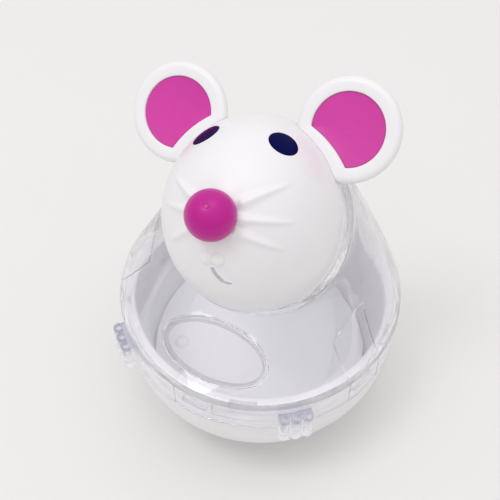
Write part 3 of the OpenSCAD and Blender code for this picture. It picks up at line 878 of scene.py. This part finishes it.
def lining_outline(grow, steps=144):
    """The lining's edge about the ear's middle: a circle with a bite along the head."""
    points = []
    for k in range(steps):
        a = 2*math.pi*k/steps
        ray = Vector((math.cos(a), math.sin(a)))
        r = lining_r + grow
        # where the ray enters the circle round the head, it stops there
        b = ear_mid.dot(ray)
        gap = b*b - ear_mid.length_squared + (cut_r - grow)**2
        if b < 0 and gap > 0:
            r = min(r, -b - math.sqrt(gap))
        points.append(ray*r)
    return points


ear = turned("ear", [(0, -ear_t/2)]
             + arc_points((ear_r - ear_edge, -ear_t/2 + ear_edge), ear_edge, -90, 0, 8)
             + arc_points((ear_r - ear_edge, ear_t/2 - ear_edge), ear_edge, 0, 90, 8)
             + [(0, ear_t/2)], 160)
ear.data.transform(Matrix.Translation((ear_side, ear_up, ear_z)))
ear_face = ear_z + ear_t/2
pocket_z = ear_face - lining_t - recess
soft = 0.00035
pocket = loft("pocket", lining_outline(0.00006),
              [(1, pocket_z), (1, ear_face - soft), (1.008, ear_face - soft*0.45),
               (1.022, ear_face - soft*0.1), (1.045, ear_face + soft*0.1), (1.05, ear_face + 0.001)],
              (ear_side, ear_up))
work(ear, pocket)
bpy.ops.mesh.primitive_uv_sphere_add(segments=256, ring_count=128, radius=1)
against = bpy.context.object
against_half = dome_half + Vector((1, 1, 1))*0.00006
against.data.transform(Matrix.Translation(dome_mid) @ Matrix.Diagonal(against_half.to_4d()))
work(ear, against)
flip = Matrix.Diagonal((-1, 1, 1, 1))
for name, node, side in (("ear_l", "ear_left", 1), ("ear_r", "ear_right", -1)):
    copy = ear.copy()
    copy.data = ear.data.copy()
    bpy.context.collection.objects.link(copy)
    copy.name = name
    copy.data.transform(head @ (flip if side < 0 else Matrix.Identity(4)))
    close_up(copy, 32)
    white_plastic.on(copy)
    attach(copy, "head")
    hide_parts(node)
bpy.data.objects.remove(ear)


# ---- Ear linings ----
# The pink linings are thin dishes pressed into the ears, a little below the white border.
# The gate left a small ring in the middle, and a rub mark crosses the dish.
lining_top = ear_face - recess
lining_low = lining_top - lining_t
dish = 0.00055
rings = [1.0, 0.985, 0.96, 0.92, 0.86, 0.78, 0.68, 0.56, 0.43, 0.30, 0.18]
gate = [(0.13, 0.00001), (0.12, 0.00003), (0.11, 0.00001), (0.05, 0)]
lining = loft("lining", lining_outline(0),
              [(0.6, lining_low), (0.985, lining_low), (1, lining_low + 0.0002),
               (1, lining_top - 0.00025), (0.995, lining_top - 0.00008)]
              + [(s*0.985, lining_top - dish*(1 - s*s)) for s in rings]
              + [(s, lining_top - dish + h) for s, h in gate], (ear_side, ear_up), lining_r)
pink_plastic = Finish("pink moulding", ior=1.5, coat_weight=0.15, coat_roughness=0.3)
moulded(pink_plastic, (0.62, 0.026, 0.345, 1), (0.55, 0.020, 0.305, 1), 0.38, 0.1)
for name, node, side in (("lining_l", "ear_lining_left", 1), ("lining_r", "ear_lining_right", -1)):
    copy = lining.copy()
    copy.data = lining.data.copy()
    bpy.context.collection.objects.link(copy)
    copy.name = name
    copy.data.transform(head @ (flip if side < 0 else Matrix.Identity(4)))
    close_up(copy, 40)
    pink_plastic.on(copy)
    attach(copy, "head")
    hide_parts(node)
bpy.data.objects.remove(lining)


# ---- Nose ----
# The nose is a pink ball on a stem, pressed into its seat at the end of the head.
# A small ring is left above its tip where it was gated.
nose_r = 0.0064
stem_r = 0.0021
stem_tip = nose_seat - 0.0055
ball_z = nose_seat + 0.0027
base_angle = math.degrees(math.asin(-0.0026/nose_r))
nose = turned("nose_ball", arc_points((0, ball_z), nose_r, 90, base_angle, 48)
              + [(0.0056, nose_seat + touch), (stem_r, nose_seat + touch), (stem_r, nose_seat - 0.0050),
                 (0.0017, stem_tip), (0, stem_tip)], 128)
gate_way = Vector((0.14, 0.43, 0.89)).normalized()
bpy.ops.mesh.primitive_torus_add(major_radius=0.0007, minor_radius=0.00016,
                                 major_segments=48, minor_segments=12)
gate_ring = bpy.context.object
gate_ring.data.transform(Matrix.Translation(Vector((0, 0, ball_z)) + gate_way*(nose_r - 0.00004))
                         @ gate_way.to_track_quat("Z", "Y").to_matrix().to_4x4())
work(nose, gate_ring, "UNION")
close_up(nose)
nose.data.transform(head @ Matrix.Translation((0, nose_up, 0)))
nose_plastic = Finish("pink nose", specular_ior_level=0.35, coat_weight=0.1, coat_roughness=0.12)
moulded(nose_plastic, (0.51, 0.002, 0.265, 1), (0.45, 0.002, 0.23, 1), 0.3, 0.05)
nose_plastic.on(nose)
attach(nose, "head")
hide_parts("nose")


# ---- Eyes ----
# Each eye is a navy insert, polished, that follows the curve of the head and lies flush in its socket.
# Its edge is slightly rounded.
eye_rings = [(0.6, -0.0010), (0.97, -0.0010), (1.0, -0.0009), (1.0, 0.00002), (0.992, 0.00009),
             (0.97, 0.00013), (0.94, 0.00015)]
eye_rings += [(s, 0.00016) for s in (0.88, 0.8, 0.7, 0.6, 0.5, 0.4, 0.3, 0.2, 0.1)]
navy_plastic = Finish("navy moulding", specular_ior_level=0.04)
moulded(navy_plastic, (0.0012, 0.0016, 0.060, 1), (0.001, 0.0014, 0.050, 1), 0.25, 0.04)
for name, node, side in (("eye_l", "eye_left", 1), ("eye_r", "eye_right", -1)):
    circle = [Vector((math.cos(2*math.pi*k/96), math.sin(2*math.pi*k/96)))*eye_r for k in range(96)]
    eye = loft(name, circle, eye_rings, (0, 0))
    spot, face = dome(side*eye_side, eye_up)
    stand = face.to_track_quat("Z", "Y").to_matrix()
    for v in eye.data.vertices:
        height = v.co.z
        # down the socket's own direction on to the dome, then up by the ring's height
        p = spot + stand @ Vector((v.co.x, v.co.y, 0))
        for _ in range(6):
            q = p - dome_mid
            level = sum((q[i]/dome_half[i])**2 for i in range(3)) - 1
            slope = 2*sum(q[i]*face[i]/dome_half[i]**2 for i in range(3))
            p = p - face*(level/slope)
        v.co = p + face*height
    eye.data.transform(head)
    close_up(eye, 40)
    navy_plastic.on(eye)
    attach(eye, "head")
    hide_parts(node)


# ---- Floor, light and camera ----
# The toy stands on a plain white sheet in a bright, even room. A wide soft box hangs over it and a
# smaller one in front, above its right side.
bpy.ops.mesh.primitive_plane_add(size=6)
floor = bpy.context.object
floor.name = "floor"
paper = Finish("floor paper", ior=1.3)
paper.set(Base_Color=paper.blend(paper.noise(12, 3), (0.80, 0.79, 0.78, 1), (0.82, 0.81, 0.80, 1)),
          Roughness=0.8 + paper.noise(90, 3)*0.1)
paper.on(floor)

# the room is dimmer at the horizon than overhead
room = bpy.data.worlds.new("room")
room.use_nodes = True
room_tree = room.node_tree
walls = room_tree.nodes["Background"]
walls.inputs["Color"].default_value = (1.0, 0.99, 0.985, 1)
way = room_tree.nodes.new("ShaderNodeTexCoord")
way_up = room_tree.nodes.new("ShaderNodeSeparateXYZ")
room_light = room_tree.nodes.new("ShaderNodeMapRange")
room_light.inputs["To Min"].default_value = 0.60
room_light.inputs["To Max"].default_value = 1.02
room_tree.links.new(way.outputs["Generated"], way_up.inputs["Vector"])
room_tree.links.new(way_up.outputs["Z"], room_light.inputs["Value"])
room_tree.links.new(room_light.outputs["Result"], walls.inputs["Strength"])
bpy.context.scene.world = room


def soft_box(name, place, aim, width, height, power):
    """An area light that faces a point."""
    bpy.ops.object.light_add(type="AREA", location=place)
    lamp = bpy.context.object
    lamp.name = name
    lamp.data.shape = "RECTANGLE"
    lamp.data.size = width
    lamp.data.size_y = height
    lamp.data.energy = power
    lamp.rotation_euler = (Vector(aim) - Vector(place)).to_track_quat("-Z", "Y").to_euler()


soft_box("key", (-0.23, -0.24, 0.86), (0, -0.04, 0.045), 0.24, 0.22, 1.2)
soft_box("ceiling", (0.05, 0.15, 1.0), (0, 0, 0.05), 0.5, 0.5, 0.8)

looks_down = 53.297                     # angle of the camera below level, in degrees
looks_from = 27.3                       # and how far round it stands from the front
bpy.ops.object.camera_add(location=(0.0691, -0.1409, 0.2739),
                          rotation=(math.radians(90 - looks_down), 0, math.radians(looks_from)))
camera = bpy.context.object
camera.data.sensor_width = 36
camera.data.lens = 64.8
bpy.context.scene.camera = camera
bpy.context.scene.view_settings.view_transform = "Standard"
